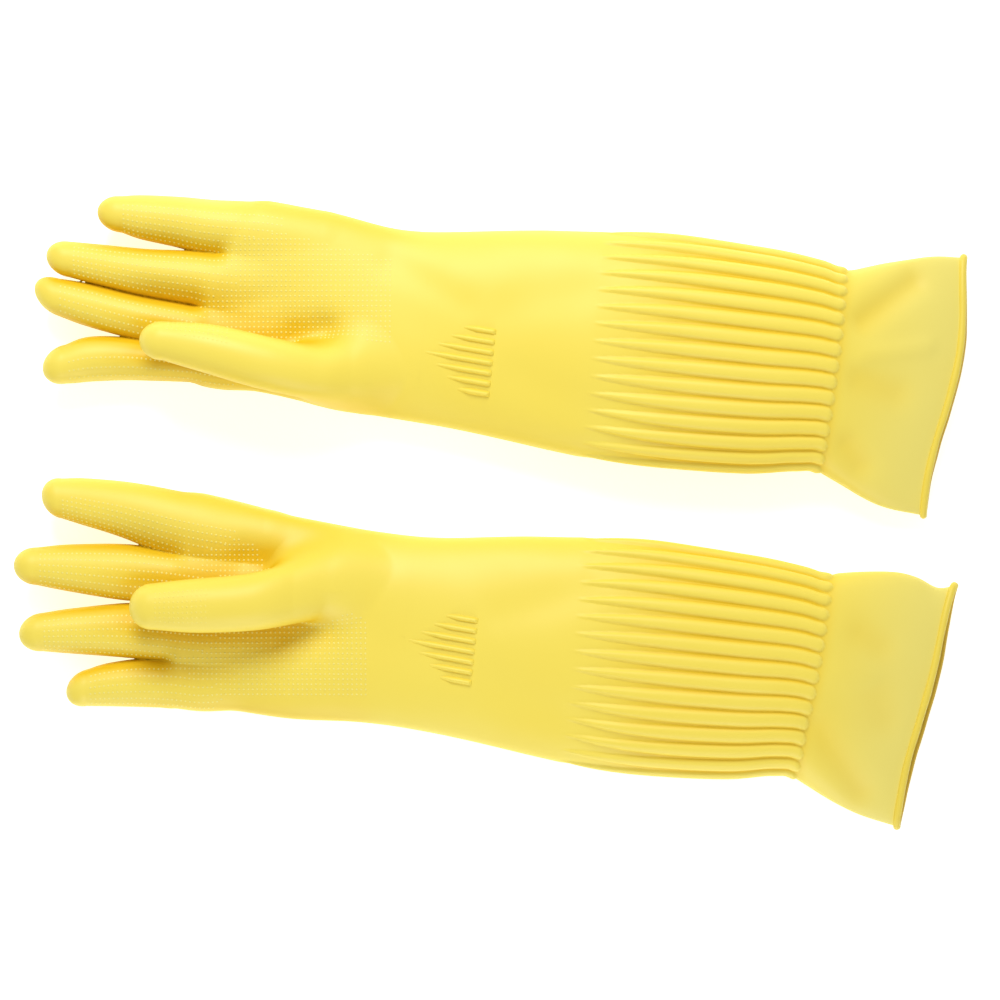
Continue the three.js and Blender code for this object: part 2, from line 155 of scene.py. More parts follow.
# Each glove is drawn about its own wrist, in millimetres.
#   arm: x, y, half width and half height of the palm, sleeve and cuff, from the finger roots to the mouth.
#   digits: x, y, z, half width and half height from the root to the crown, and then the place of the tip.
#   roll: how far each digit's pattern has turned about it, in degrees, from facing up.
#   thumb_free: x past which the thumb is clear of the palm, on the palm's side and on the index finger's.
#   web_slope: how much further back the palm ends for each step from its middle towards +y.
#   mouth_turn: how far the mouth faces off +x, towards -y.
#   mouth_line: how far forward the rim runs, against its place across the mouth, from -1 at -y to 1 at +y.
#   mouth_step: how far the upper layer's rim lies behind the lower one's.
#   fan_middle: how far the middle ridge lies across the line of the arm.
#   grip: outline of the dots on the palm.
#   dents: x and y of both ends of a soft trough, its width and its depth. Less than 0 is a mound.
#   upper_edge: how far out the +y edge is moved, against x.
GLOVES = {
    "right": {
        "wrist": mm([-10, 1.2]),
        "arm": mm([
            [-94, 14.2, 49, 13.2],
            [-75, 10.2, 49.4, 14.2],
            [-45, 4.3, 47.9, 14.8],
            [-10, 0.3, 45.6, 16],
            [25, -3.5, 46.9, 18],
            [75, -8.5, 52.8, 21],
            [120, -13, 56.6, 22.5],
            [165, -17.4, 54.4, 22],
            [190, -19.6, 51.2, 20.8],
            [203, -22.8, 50.4, 19.3],
            [232, -32, 57, 13.5],
            [255.7, -37.2, 59.8, 9],
        ]),
        "digits": {
            "thumb": mm([
                [-12, 23.5, 21.7, 13.6, 11],
                [-28, 20.8, 26.1, 14.4, 12],
                [-44, 17.4, 32.6, 14.2, 12.6],
                [-64, 13.5, 40.8, 13.5, 13],
                [-90, 11.6, 42.6, 12.8, 12.4],
                [-110, 11, 42.8, 10.8, 10.6],
                [-121, 10.8, 42.5, 0, 0],
            ]),
            "index_finger": mm([
                [-85, 46.2, 14.6, 15.7, 12.6],
                [-105, 50.4, 14.8, 15.6, 12.5],
                [-127, 56.2, 14.5, 13.4, 12],
                [-147, 60.3, 15, 11, 10.6],
                [-157, 62, 16, 9.3, 9.2],
                [-166, 63.6, 17, 0, 0],
            ]),
            "middle_finger": mm([
                [-85, 22.5, 14.5, 12.4, 12.6],
                [-106, 25.2, 14.3, 12.5, 12.4],
                [-127, 26.8, 14.3, 13.6, 12.3],
                [-152, 28.6, 15.5, 11.4, 10.9],
                [-169, 29.6, 17, 9, 8.9],
                [-179.6, 30, 18, 0, 0],
            ]),
            "ring_finger": mm([
                [-85, -4.2, 14.5, 13.2, 12.6],
                [-106, -2.8, 14.3, 13.3, 12.4],
                [-126, -1.3, 14.3, 13.2, 12.3],
                [-150, -1.5, 15.5, 11.1, 10.7],
                [-166, -2.1, 17, 9, 8.8],
                [-176.7, -2.9, 18, 0, 0],
            ]),
            "little_finger": mm([
                [-85, -27.6, 13, 11.8, 11.6],
                [-104, -26.5, 13, 11.8, 11.6],
                [-119, -26.2, 13.3, 11.6, 11.2],
                [-135, -27.2, 14, 10.4, 10.2],
                [-145, -28.6, 15, 8.8, 8.8],
                [-154.8, -30.5, 16, 0, 0],
            ]),
        },
        "roll": dict(zip(DIGITS, (0, -40, -11, -10, -18))),
        "thumb_free": mm([-48, -80]),
        "web_slope": 0,
        "mouth_turn": math.radians(14.4),
        "mouth_line": np.array([
            [-1, 3], [-0.8, 3.1], [-0.48, 2.9], [-0.07, 4.1],
            [0.31, 4.3], [0.78, 2], [1, 1],
        ]) * [1, MM],
        "mouth_step": 4.8 * MM,
        "fan_middle": -6.2 * MM,
        "grip": mm([
            [-112, 55], [-86, 46], [-63, 41], [-59, 30], [-22, 12],
            [-10, 5], [-10, -33], [-70, -33], [-112, -36],
        ]),
        "dents": mm([
            [-68, 33, -61, 31, 9, 4],
            [-50, 0, -32, 1, 11, 3.4],
            [-34, 22, -4, 22, 20, -2.5],
            [53, 7, 92, 18, 10, 1.3],
            [50, -27, 90, -44, 11, 1.4],
            [-10, -2, 18, -12, 12, 0.9],
            [202, -47, 224, -77, 8, 2],
            [224, -3, 233, -8, 8, 1.3],
            [232, -30, 236, -42, 9, 1],
            [214, -20, 228, -24, 6, -0.7],
        ]),
        "upper_edge": mm([
            [60, 0], [100, -0.9], [150, -1.5], [195, -1.6], [206, 0.1],
            [214, 1.7], [228, 3.2], [238, 1.8], [248, -2.2], [255.7, -0.4],
        ]),
    },
    "left": {
        "wrist": mm([-10, 1.6]),
        "arm": mm([
            [-90, 14.4, 43.8, 13.2],
            [-75, 12.6, 44.8, 14.2],
            [-45, 7.8, 45.6, 14.8],
            [-10, 0.4, 44.8, 16],
            [25, -3.6, 47.4, 18],
            [75, -9, 53, 21],
            [120, -13.2, 56.3, 22.5],
            [165, -17.8, 54.6, 22],
            [190, -20, 51.6, 20.8],
            [203, -22.4, 50.6, 19.3],
            [232, -29.1, 58.6, 13.5],
            [255.7, -31, 62.1, 9],
        ]),
        "digits": {
            "thumb": mm([
                [-12, -21.5, 21.7, 12.6, 11],
                [-27, -23.5, 26.1, 12.8, 11.8],
                [-43, -25, 32.8, 12.5, 12.2],
                [-66, -21, 40.3, 12.4, 12.2],
                [-93, -14, 41.8, 11.6, 11.4],
                [-115, -10, 41.5, 9, 9],
                [-126, -9.9, 41, 0, 0],
            ]),
            "index_finger": mm([
                [-85, -21.5, 13, 9.4, 12.4],
                [-106, -20.3, 13, 7.8, 12.4],
                [-131, -17.3, 13.5, 10.2, 12],
                [-152, -17.5, 14.8, 10.9, 10.9],
                [-164.6, -20, 16.5, 9.2, 9.2],
                [-175.3, -21.9, 17.5, 0, 0],
            ]),
            "middle_finger": mm([
                [-85, -8, 14, 11.2, 12.6],
                [-106, -2.6, 14, 11, 12.2],
                [-131, 2.5, 14, 10.7, 11.5],
                [-154, 8.5, 15.2, 10, 10.2],
                [-168, 12.3, 16.5, 8.5, 8.7],
                [-178.9, 16, 17.5, 0, 0],
            ]),
            "ring_finger": mm([
                [-85, 19, 14.5, 13.4, 12.6],
                [-106, 21.7, 14.5, 12.7, 12.3],
                [-126, 24, 14.7, 11.4, 11.6],
                [-147, 27.4, 16, 9.8, 10.2],
                [-163, 30.2, 17, 8.4, 8.7],
                [-173.5, 31.6, 18, 0, 0],
            ]),
            "little_finger": mm([
                [-68, 43.4, 14, 13.8, 12.4],
                [-95, 45.8, 14, 13.2, 12.2],
                [-112, 48.4, 14, 12.1, 11.4],
                [-128, 50.3, 15, 10.8, 10.1],
                [-138, 51.7, 15.8, 8.8, 8.8],
                [-149.2, 52.6, 16.5, 0, 0],
            ]),
        },
        "roll": dict(zip(DIGITS, (62, -52, -5, -4, -17))),
        "thumb_free": mm([-68, -86]),
        "web_slope": 0.42,
        "mouth_turn": math.radians(8.7),
        "mouth_line": np.array([
            [-1, 0.6], [-0.7, 1.1], [-0.42, 3], [-0.2, 5.2],
            [0, 6.8], [0.27, 7.8], [0.56, 6.3], [1, 1],
        ]) * [1, MM],
        "mouth_step": 3.4 * MM,
        "fan_middle": -16.2 * MM,
        "grip": mm([
            [-112, 54], [-84, 48], [-7, 29],
            [-7, -11], [-30, -18], [-112, -20],
        ]),
        "dents": mm([
            [-52, -10, -40, -7, 9, 4],
            [-34, -22, -4, -21, 20, -2.5],
            [48, 6, 86, 14, 11, 1],
            [50, -28, 92, -45, 11, 1.2],
            [-8, 28, 26, 8, 8, 0.8],
            [215, 0, 240, 19, 7, 2.2],
            [214, -28, 231, -34, 8, 1.6],
            [208, -60, 214, -68, 7, 1.8],
            [216, -17, 246, -12, 5, -1.1],
        ]),
        "upper_edge": mm([
            [60, 0], [100, -0.9], [150, -1.5], [195, -2.1], [205, -2.6],
            [212, -1.2], [222, 0.8], [240, 2.8], [255.7, 1.4],
        ]),
    },
}

UP = np.array([0.0, 0.0, 1.0])


# ---- Shape of a glove, as fields

def smooth_rows(rows, steps=24):
    """Rows that pass smoothly through the given ones (Catmull-Rom)."""
    padded = np.vstack([2 * rows[0] - rows[1], rows, 2 * rows[-1] - rows[-2]])
    t = (np.arange(steps) / steps)[:, None]
    out = []
    for i in range(len(rows) - 1):
        a, b, c, d = padded[i : i + 4]
        bend = 2 * a - 5 * b + 4 * c - d
        twist = 3 * b - a - 3 * c + d
        out.append(0.5 * (2 * b + (c - a) * t + bend * t**2 + twist * t**3))
    return np.vstack(out + [rows[-1:]])


def smoothstep(x, low, high):
    t = np.clip((x - low) / (high - low), 0, 1)
    return t * t * (3 - 2 * t)


def smooth_min(a, b, blend):
    return np.minimum(a, b) - np.maximum(blend - np.abs(a - b), 0) ** 2 / (4 * blend)


def rounded_distance(power, *parts):
    """About the distance to an ellipsoid (power 2) or a boxier solid, from pairs of offset and half size."""
    ratios = [(np.abs(o) / s + 1e-6, s) for o, s in parts]
    radius = sum(r**power for r, s in ratios) ** (1 / power)
    steep = radius ** (1 - power) * np.sqrt(sum((r ** (power - 1) / s) ** 2 for r, s in ratios))
    return (radius - 1) / steep


class Digit:
    """A finger or thumb: round sections along x, a domed tip and an end that is sunk in the palm."""

    def __init__(self, rows, tail):
        rows = np.vstack([rows[0] + tail, rows])
        dense = smooth_rows(rows[:-1])[::-1]
        slope_y = np.gradient(dense[:, 1], dense[:, 0])
        slope_z = np.gradient(dense[:, 2], dense[:, 0])
        self.x = dense[:, 0]
        self.y = dense[:, 1]
        self.z = dense[:, 2]
        self.w = dense[:, 3] * np.sqrt(1 + slope_y**2)
        self.h = dense[:, 4] * np.sqrt(1 + slope_z**2)
        self.tip = rows[-1]
        self.crown = rows[-2]
        self.root = rows[0]

    def section(self, x):
        past = np.clip((self.crown[0] - x) / (self.crown[0] - self.tip[0]), 0, 1)
        y = np.interp(x, self.x, self.y) + past * (self.tip[1] - self.crown[1])
        z = np.interp(x, self.x, self.z) + past * (self.tip[2] - self.crown[2])
        return y, z, np.interp(x, self.x, self.w), np.interp(x, self.x, self.h)

    def distance(self, p):
        x = p[:, 0]
        y, z, w, h = self.section(x)
        length = self.crown[0] - self.tip[0]
        past_tip = np.maximum(0, self.crown[0] - x)
        past_root = np.maximum(0, x - self.root[0])
        return rounded_distance(
            2.0, (p[:, 1] - y, w), (p[:, 2] - z, h), (past_tip, length), (past_root, self.root[3])
        )


class Glove:
    """The shape of one glove, about its own wrist: distances are negative inside."""

    def __init__(self, side):
        data = GLOVES[side]
        self.side = side
        self.data = data
        self.digits = {}
        palm_middle = data["arm"][1][1]
        for name, rows in data["digits"].items():
            inward = FANNED * (palm_middle - rows[0][1])
            tail = THUMB_TAIL if name == "thumb" else TAIL + [0, inward, 0, 0, 0]
            self.digits[name] = Digit(rows, tail)
        wrist = joint(f"{side}_wrist_bend")["pos_m"]
        self.place = np.array([wrist[0] - data["wrist"][0], wrist[1] - data["wrist"][1], 0])
        dense = smooth_rows(data["arm"])
        self.arm_a, self.arm_b = self.turned(dense[:, 0], dense[:, 1])
        self.arm_x, self.arm_y, self.arm_w, self.arm_h = dense.T
        self.palm_start = self.arm_a[0]

    @staticmethod
    def turned(x, y):
        c = math.cos(SLEEVE_TURN)
        s = math.sin(SLEEVE_TURN)
        return x * c - y * s, x * s + y * c

    @staticmethod
    def unturned(a, b):
        c = math.cos(SLEEVE_TURN)
        s = math.sin(SLEEVE_TURN)
        return a * c + b * s, -a * s + b * c

    def arm_distance(self, p):
        a, b = self.turned(p[:, 0], p[:, 1])
        middle = np.interp(a, self.arm_a, self.arm_b)
        w = np.interp(a, self.arm_a, self.arm_w)
        h = np.interp(a, self.arm_a, self.arm_h)
        z = p[:, 2]
        z = z - FLATTEN**2 / (4 * np.maximum(z, 0.02 * MM))
        end = self.palm_start + self.data["web_slope"] * np.maximum(0, b - middle) - a
        power = 2 + (PALM_FULLNESS - 2) * smoothstep(-a, 5 * MM, 70 * MM)
        past_end = np.maximum(0, end)
        return rounded_distance(power, (b - middle, w), (z - (h - SETTLE), h), (past_end, PALM_END))

    def dents(self, p):
        """How far the palm and sleeve have sunk, on their upper side."""
        depth = 0
        for x0, y0, x1, y1, width, deep in self.data["dents"]:
            run = np.array([x1 - x0, y1 - y0])
            off = p[:, :2] - [x0, y0]
            t = np.clip(off @ run / (run @ run), 0, 1)
            gap = np.linalg.norm(off - t[:, None] * run, axis=1)
            depth = depth + deep * np.exp(-((gap / width) ** 2))
        return depth * smoothstep(p[:, 2], 8 * MM, 16 * MM)

    @staticmethod
    def sway(p):
        """The slight waviness of slack film."""
        x, y, z = p.T / MM
        small = 0.22 * np.sin(x / 11 + y / 17 + 1) * np.sin(y / 13 - z / 19 + 2)
        broad = 0.16 * np.sin(x / 23 - y / 9)
        return (small + broad) * MM * smoothstep(p[:, 2], 1 * MM, 8 * MM)

    def arm_surface(self, p):
        return self.arm_distance(p) + self.dents(p) + self.sway(p)

    def thumb_blend(self, p):
        """Softness of the fold round the thumb: the web towards the index finger reaches further out."""
        x = p[:, 0]
        digits = self.data["digits"]
        to_index = np.sign(digits["index_finger"][0][1] - digits["thumb"][0][1])
        aside = (p[:, 1] - self.digits["thumb"].section(x)[0]) * to_index
        palm_side, index_side = self.data["thumb_free"]
        free = palm_side + (index_side - palm_side) * smoothstep(aside, -8 * MM, 8 * MM)
        merged = smoothstep(x, free, free + THUMB_MERGE)
        off_wrist = smoothstep(-x, -7 * MM, 24 * MM)
        return CREASE_BLEND + THUMB_BLEND * merged * off_wrist

    def distance(self, p, thumb=True):
        palm = self.arm_distance(p) + self.dents(p)
        fingers = np.full(len(p), 1.0)
        for name, digit in self.digits.items():
            if name != "thumb":
                fingers = smooth_min(fingers, digit.distance(p), CREASE_BLEND)
        whole = smooth_min(fingers, palm, WEB_BLEND)
        if thumb:
            joined = smooth_min(self.digits["thumb"].distance(p), palm, self.thumb_blend(p))
            whole = np.minimum(whole, joined)
        return whole + self.sway(p)

    def owners(self, p):
        """0 for the palm and wrist, or 1, 2... for the digit whose surface a point lies on."""
        fields = [self.arm_distance(p)] + [digit.distance(p) for digit in self.digits.values()]
        return np.argmin(np.stack(fields), axis=0)


def joint(name):
    return next(j for j in frame["record"]["behaviour"]["joints"] if j["name"] == name)


def gradient(field, p):
    out = np.empty_like(p)
    for axis in range(3):
        shift = np.zeros(3)
        shift[axis] = PROBE
        out[:, axis] = (field(p + shift) - field(p - shift)) / (2 * PROBE)
    return out


def unit(v):
    return v / np.maximum(np.linalg.norm(v, axis=-1, keepdims=True), 1e-12)


def settle_on(field, p, rounds=4):
    """Moves points onto the surface where the field is zero."""
    for _ in range(rounds):
        slope = gradient(field, p)
        move = field(p) / np.maximum((slope**2).sum(axis=1), 0.05)
        p = p - np.clip(move, -2 * MM, 2 * MM)[:, None] * slope
    return p


def lower_onto(field, x, y, z):
    """Points on the upper side of a surface, found by moving straight up and down from a height."""
    p = np.stack([x, y, np.full(len(x), z)], axis=1)
    lift = [0, 0, PROBE]
    for _ in range(8):
        slope = (field(p + lift) - field(p - lift)) / (2 * PROBE)
        p[:, 2] -= np.clip(field(p) / np.maximum(slope, 0.3), -4 * MM, 4 * MM)
    return p


# ---- Meshes from fields

def surface_net(field, low, high, step):
    """Quads along the surface where the field is zero: one vertex in each grid cell that it crosses."""
    counts = np.ceil((high - low) / step).astype(int) + 1
    axes = [low[i] + step[i] * np.arange(counts[i]) for i in range(3)]
    grid = np.stack(np.meshgrid(*axes, indexing="ij"), axis=-1)
    value = field(grid.reshape(-1, 3)).reshape(counts)
    inside = value < 0
    cells = counts - 1
    total = np.zeros((cells.prod(), 3))
    number = np.zeros(cells.prod())
    quads = []
    for axis in range(3):
        first = [slice(None)] * 3
        second = [slice(None)] * 3
        first[axis] = slice(0, -1)
        second[axis] = slice(1, None)
        a = value[tuple(first)]
        b = value[tuple(second)]
        crossing = np.argwhere(inside[tuple(first)] != inside[tuple(second)])
        at = tuple(crossing.T)
        t = a[at] / (a[at] - b[at])
        point = low + step * crossing
        point[:, axis] += step[axis] * t
        u, v = (axis + 1) % 3, (axis + 2) % 3
        corners = []
        good = np.ones(len(crossing), bool)
        for du, dv in ((0, 0), (1, 0), (1, 1), (0, 1)):
            cell = crossing.copy()
            cell[:, u] -= du
            cell[:, v] -= dv
            valid = ((cell >= 0) & (cell < cells)).all(axis=1)
            flat = np.ravel_multi_index(np.clip(cell, 0, cells - 1).T, cells)
            np.add.at(total, flat[valid], point[valid])
            np.add.at(number, flat[valid], 1)
            corners.append(flat)
            good &= valid
        ring = np.stack(corners, axis=1)[good]
        starts_inside = inside[tuple(first)][at][good]
        quads.append(np.where(starts_inside[:, None], ring, ring[:, ::-1]))
    quads = np.vstack(quads)
    used = np.unique(quads)
    index = np.zeros(cells.prod(), int)
    index[used] = np.arange(len(used))
    return total[used] / number[used][:, None], index[quads]


def edges_of(quads):
    return np.vstack([quads[:, [i, (i + 1) % 4]] for i in range(4)])


def fold_shade(field, points, normals):
    """Painted shade: 0 where the surface is open, up to 1 deep in a fold, from how close other film is."""
    near = [1 - np.clip(field(points + reach * normals) / reach, 0, 1) for reach in mm(FOLD_REACHES)]
    return np.minimum(1, sum(near) / FOLD_FULL)


def ring_faces(rings, sides, closed=False):
    """Quads between rings of points, and from the last ring back to the first if they are closed."""
    faces = []
    for i in range(rings if closed else rings - 1):
        k = (i + 1) % rings
        for j in range(sides):
            m = (j + 1) % sides
            faces.append([i * sides + j, i * sides + m, k * sides + m, k * sides + j])
    return faces


def facing_out(points, faces, normals):
    """The faces, all turned over if the first one looks against its normal."""
    a, b, c, d = (points[i] for i in faces[0])
    looks_out = np.cross(c - a, d - b) @ normals[faces[0][0]] >= 0
    return faces if looks_out else [f[::-1] for f in faces]


def relax(p, quads, field, rounds=3):
    """Evens out the spacing of the points and puts them back on the surface."""
    pairs = edges_of(quads)
    degree = np.zeros(len(p))
    np.add.at(degree, pairs[:, 0], 1)
    np.add.at(degree, pairs[:, 1], 1)
    for _ in range(rounds):
        total = np.zeros_like(p)
        np.add.at(total, pairs[:, 0], p[pairs[:, 1]])
        np.add.at(total, pairs[:, 1], p[pairs[:, 0]])
        p = settle_on(field, total / degree[:, None], 2)
    return p


class Skin:
    """Points, faces, normals and marks for the colour, among them painted shade and painted highlight,
    gathered before they become one mesh.
    """

    def __init__(self):
        self.points = []
        self.faces = []
        self.normals = []
        self.marks = {"thin": [], "raised": [], "hollow": []}
        self.count = 0

    def add(self, points, faces, normals, **marks):
        self.points.append(points)
        self.normals.append(normals)
        self.faces.extend((np.asarray(f) + self.count).tolist() for f in faces)
        for kind, values in self.marks.items():
            values.append(np.broadcast_to(marks.get(kind, 0.0), len(points)))
        self.count += len(points)

    def add_film(self, points, faces, normals, **marks):
        """A sheet with an inside, and a rim along its open edges, so that it is a closed solid."""
        faces = [list(f) for f in faces]
        n = len(points)
        both = np.vstack([points, points - FILM * normals])
        open_edges = set()
        for f in faces:
            for i, j in zip(f, f[1:] + f[:1]):
                if (j, i) in open_edges:
                    open_edges.remove((j, i))
                else:
                    open_edges.add((i, j))
        back = [[i + n for i in reversed(f)] for f in faces]
        rims = [[j, i, i + n, j + n] for i, j in sorted(open_edges)]
        marks = {kind: np.tile(values, 2) for kind, values in marks.items()}
        self.add(both, faces + back + rims, np.vstack([normals, -normals]), **marks)

    def make(self, name, glove, material):
        points = np.vstack(self.points) + glove.place
        mesh = bpy.data.meshes.new(name)
        mesh.from_pydata(points.tolist(), [], self.faces)
        mesh.polygons.foreach_set("use_smooth", [True] * len(mesh.polygons))
        mesh.normals_split_custom_set_from_vertices(unit(np.vstack(self.normals)).tolist())
        for kind, values in self.marks.items():
            layer = mesh.attributes.new(kind, "FLOAT", "POINT")
            layer.data.foreach_set("value", np.concatenate(values).astype(np.float32))
        mesh.materials.append(material)
        obj = bpy.data.objects.new(name, mesh)
        bpy.context.scene.collection.objects.link(obj)
        return obj


# ---- Raised patterns

def add_dots(skin, points, normals, strength):
    """Small round bumps, each a low dome whose base is sunk in the film."""
    if not len(points):
        return
    sides = DOT_SIDES
    side = unit(np.cross(normals, UP + [0.3, 0.1, 0]))
    other = np.cross(normals, side)
    turn = 2 * math.pi * np.arange(sides) / sides
    rings = []
    ring_normals = []
    high = DOT_HEIGHT * strength[:, None, None]
    for radius, height, lean in ((1, -0.5, 0.8), (0.7, 0.66, 0.5)):
        spoke = np.cos(turn)[None, :, None] * side[:, None] + np.sin(turn)[None, :, None] * other[:, None]
        rings.append(points[:, None] + DOT_RADIUS * radius * spoke + high * height * normals[:, None])
        ring_normals.append(unit(lean * spoke + normals[:, None]))
    top = points + high[:, 0] * normals
    block = np.concatenate([rings[0], rings[1], top[:, None]], axis=1)
    block_normals = np.concatenate([ring_normals[0], ring_normals[1], normals[:, None]], axis=1)
    per_dot = 2 * sides + 1
    pattern = [list(range(sides))[::-1]]
    for i in range(sides):
        j = (i + 1) % sides
        pattern.append([i, j, sides + j, sides + i])
        pattern.append([sides + i, sides + j, 2 * sides])
    faces = [[i + k * per_dot for i in face] for k in range(len(points)) for face in pattern]
    # Painted highlight: each dot is given a paler colour, as if catching the light.
    skin.add(block.reshape(-1, 3), faces, block_normals.reshape(-1, 3), raised=np.repeat(strength, per_dot))


def inside_outline(x, y, outline):
    """Whether points are inside a closed outline."""
    inside = np.zeros(len(x), bool)
    for (x0, y0), (x1, y1) in zip(outline, np.roll(outline, -1, axis=0)):
        crosses = (y0 > y) != (y1 > y)
        inside ^= crosses & (x < x0 + (y - y0) * (x1 - x0) / (y1 - y0 + 1e-12))
    return inside


def palm_dots(glove):
    grip = glove.data["grip"]
    low = grip.min(axis=0)
    high = grip.max(axis=0)
    xs = np.arange(low[0], high[0], DOT_PITCH)
    ys = np.arange(low[1], high[1], DOT_ROW)
    x, y = (g.ravel() for g in np.meshgrid(xs, ys, indexing="ij"))
    keep = inside_outline(x, y, grip)

    def palm(p):
        return glove.distance(p, thumb=False)

    p = lower_onto(palm, x[keep], y[keep], 28 * MM)
    on_top = np.abs(palm(p)) < 0.1 * MM
    off_thumb = glove.digits["thumb"].distance(p) > 1 * MM
    on_palm = glove.owners(p) == 0
    p = settle_on(glove.distance, p[on_top & off_thumb & on_palm], 2)
    return p, unit(gradient(glove.distance, p))


def digit_dots(glove, name):
    digit = glove.digits[name]
    roll = math.radians(glove.data["roll"][name])
    spread = THUMB_DOT_SPREAD if name == "thumb" else DOT_SPREAD
    start = THUMB_DOT_START if name == "thumb" else digit.root[0] + DOT_START
    end = digit.crown[0] + 2 * MM
    points = []
    half_width = digit.root[3]
    rows = int(half_width * spread / DOT_ROW)
    for x in np.arange(start, end, -DOT_PITCH):
        y, z, w, h = digit.section(x)
        past = max(0, (digit.crown[0] - x) / (digit.crown[0] - digit.tip[0]))
        shrink = math.sqrt(1 - past**2)
        for row in range(-rows, rows + 1):
            angle = roll + row * DOT_ROW / half_width
            if abs(row * DOT_ROW) > spread * min(w, half_width) * shrink:
                continue
            points.append([x, y + w * shrink * math.sin(angle), z + h * shrink * math.cos(angle)])
    p = settle_on(glove.distance, np.array(points), 4)
    # Only the dots that lie on the digit's own film are kept.
    own = list(glove.digits).index(name) + 1
    p = p[(glove.owners(p) == own) & (np.abs(glove.distance(p)) < 0.05 * MM)]
    n = unit(gradient(glove.distance, p))
    # The patterns of the thumb and index finger have rolled to the side, so they are kept almost to the edge.
    lowest = 0.05 if name in ("thumb", "index_finger") else 0.4
    seen = n[:, 2] > lowest
    return p[seen], n[seen]


def top_of_arm(glove, a, b):
    """Points on the palm side of the arm, at the given places along and across it."""
    x, y = glove.unturned(a, b)
    p = lower_onto(glove.arm_surface, x, y, 34 * MM)
    return p, unit(gradient(glove.arm_surface, p))


def add_fan(skin, glove):
    """Tapered ridges at the wrist, pointed towards the palm and blunt at the other end."""
    steps = 28
    across = np.linspace(-1, 1, 9)
    for k in range(FAN_RIDGES):
        order = k - FAN_RIDGES // 2
        length = FAN_LENGTH - FAN_STEP * abs(order)
        t = np.linspace(0, 1, steps)
        grown = np.minimum(1, t * FAN_TAPER)
        half = FAN_POINT + FAN_WIDEN * grown
        blunt = 1 - smoothstep(t, 1 - 1.2 * MM / length, 1)
        height = FAN_HEIGHT * grown * blunt + 0.02 * MM
        a = (FAN_END - length * (1 - t))[:, None] + 0 * across
        lean = FAN_LEAN * length * (1 - t)
        b = glove.data["fan_middle"] + order * FAN_PITCH + lean[:, None] + half[:, None] * across
        p, n = top_of_arm(glove, a.ravel(), b.ravel())
        rise = height[:, None] * (1 - across**2) ** 0.8 - 0.08 * MM
        top = (p + rise.ravel()[:, None] * n).reshape(steps, len(across), 3)
        under = (p - 0.35 * MM * n).reshape(steps, len(across), 3)[:, [-1, 0]]
        section = np.concatenate([top, under], axis=1)
        size = section.shape[1]
        faces = []
        for i in range(steps - 1):
            for j in range(size):
                m = (j + 1) % size
                faces.append([i * size + j, (i + 1) * size + j, (i + 1) * size + m, i * size + m])
        faces.append(list(range(size)))
        faces.append([(steps - 1) * size + j for j in reversed(range(size))])
        points = section.reshape(-1, 3)
        # Painted shade: a deeper colour along the foot of each ridge and on its underside.
        foot = np.tile(np.append(across**4, [1, 1]), steps)
        skin.add(points, faces, point_normals(points, faces), hollow=0.6 * foot)


def point_normals(points, faces):
    """Normals at the points, from faces with four corners or more."""
    total = np.zeros_like(points)
    for f in faces:
        a, b, c, d = (points[f[i * len(f) // 4]] for i in range(4))
        total[f] += np.cross(c - a, d - b)
    return unit(total)


# ---- Hand, fingers and wrist

def split_by(bm, layer, owner, point, direction):
    """Cuts one owner's faces along a plane, or all faces when owner is None."""
    faces = [f for f in bm.faces if owner is None or f[layer] == owner]
    geometry = set(faces)
    for f in faces:
        geometry.update(f.verts)
        geometry.update(f.edges)
    bmesh.ops.bisect_plane(bm, geom=list(geometry), dist=1e-7, plane_co=point, plane_no=direction)


def digit_cuts(glove, name):
    """The two creases of a digit: their places, the way it runs there, and half the length of their bends."""
    out = []
    for suffix in ("bend", "tip_bend"):
        j = joint(f"{glove.side}_{name}_{suffix}")
        along = unit(np.cross(UP, j["axis"]))
        out.append((np.array(j["pos_m"]) - glove.place, along))
    gap = np.linalg.norm(out[1][0] - out[0][0])
    return out, min(BEND_HALF, BEND_SHARE * gap)


def piece_planes(glove):
    """Where each digit's film starts, and its tip's: a place on the cut and the way the digit runs there."""
    planes = {}
    for number, name in enumerate(glove.digits, 1):
        creases, half = digit_cuts(glove, name)
        (first, first_way), (second, second_way) = creases
        start = first - first_way * (half + MARGIN)
        middle = (first + second) / 2
        planes[number] = (name, start, first_way, middle, unit(first_way + second_way))
    return planes


def piece_of(places, owners, planes):
    """The name of the piece that each place belongs to."""
    along = places @ ARM_WAY
    names = np.where(along > WRIST_CUT, "wrist", "hand").astype(object)
    for number, (name, start, start_way, middle, middle_way) in planes.items():
        own = (owners == number) & (names == "hand")
        past_start = (places - start) @ start_way > 0
        past_middle = (places - middle) @ middle_way > 0
        names[own & past_start] = name
        names[own & past_start & past_middle] = name + "_tip"
    names[along > SEAM] = "none"
    return names


def hand_net(glove):
    """Points and quads of the hand's skin, past the seam with the sleeve."""
    digits = glove.digits.values()
    tip = min(d.tip[0] for d in digits)
    lowest = min([d.y.min() - d.w.max() for d in digits] + [-NET_REACH])
    highest = max([d.y.max() + d.w.max() for d in digits] + [NET_REACH])
    low = np.array([tip - 3 * MM, lowest - 4 * MM, -2 * MM])
    high = np.array([SEAM + 8 * MM, highest + 4 * MM, NET_TOP])
    points, quads = surface_net(glove.distance, low, high, NET_STEP)
    points = settle_on(glove.distance, points, 3)
    return relax(points, quads, glove.distance), quads


